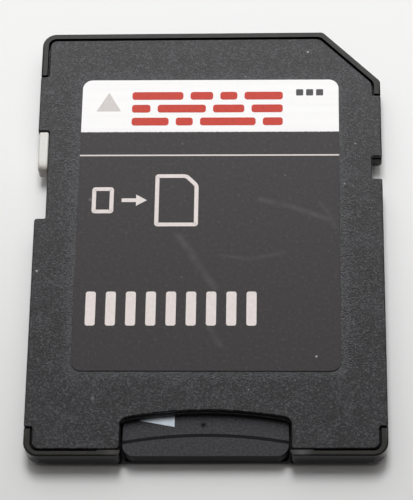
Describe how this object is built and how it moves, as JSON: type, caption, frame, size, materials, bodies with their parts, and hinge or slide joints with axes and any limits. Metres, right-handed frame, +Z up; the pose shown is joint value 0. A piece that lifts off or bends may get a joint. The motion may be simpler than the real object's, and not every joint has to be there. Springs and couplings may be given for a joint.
{
  "type": "memory card adapter",
  "caption": "Flat full-size memory card adapter with a cut corner, a lock switch in its side, front-edge contacts and a small memory card in its rear slot.",
  "frame": {"origin": "middle of the underside, on the surface that the card lies on", "axes": "+Y towards the contact edge, +X towards the cut corner's side, +Z up through the label"},
  "size_m": [0.024, 0.032, 0.0022],
  "materials": {
    "cover_plastic": "fine spark-eroded grain",
    "label_film": "printed film, satin",
    "switch_plastic": "white moulded",
    "spring_steel": "rolled strip",
    "card_moulding": "moulded, matt",
    "gold_plating": "gold plated"
  },
  "bodies": {
    "shell": {"lower_cover": "cover_plastic", "upper_cover": "cover_plastic", "front_label": "label_film", "side_spring": "spring_steel", "lead_data2": "gold_plating", "lead_data3": "gold_plating", "lead_command": "gold_plating", "lead_ground_a": "gold_plating", "lead_supply": "gold_plating", "lead_clock": "gold_plating", "lead_ground_b": "gold_plating", "lead_data0": "gold_plating", "lead_data1": "gold_plating"},
    "lock": {"lock_switch": "switch_plastic"},
    "inner_card": {"inner_card_body": "card_moulding", "inner_card_pad_data2": "gold_plating", "inner_card_pad_data3": "gold_plating", "inner_card_pad_command": "gold_plating", "inner_card_pad_supply": "gold_plating", "inner_card_pad_clock": "gold_plating", "inner_card_pad_ground_b": "gold_plating", "inner_card_pad_data0": "gold_plating", "inner_card_pad_data1": "gold_plating"}
  },
  "joints": [
    {"name": "lock_slide", "type": "slide", "parent": "shell", "child": "lock", "axis": [0, -1, 0], "range_m": [0, 0.00382]},
    {"name": "inner_card_slide", "type": "slide", "parent": "shell", "child": "inner_card", "axis": [0, -1, 0], "range_m": [0, 0.015]}
  ]
}
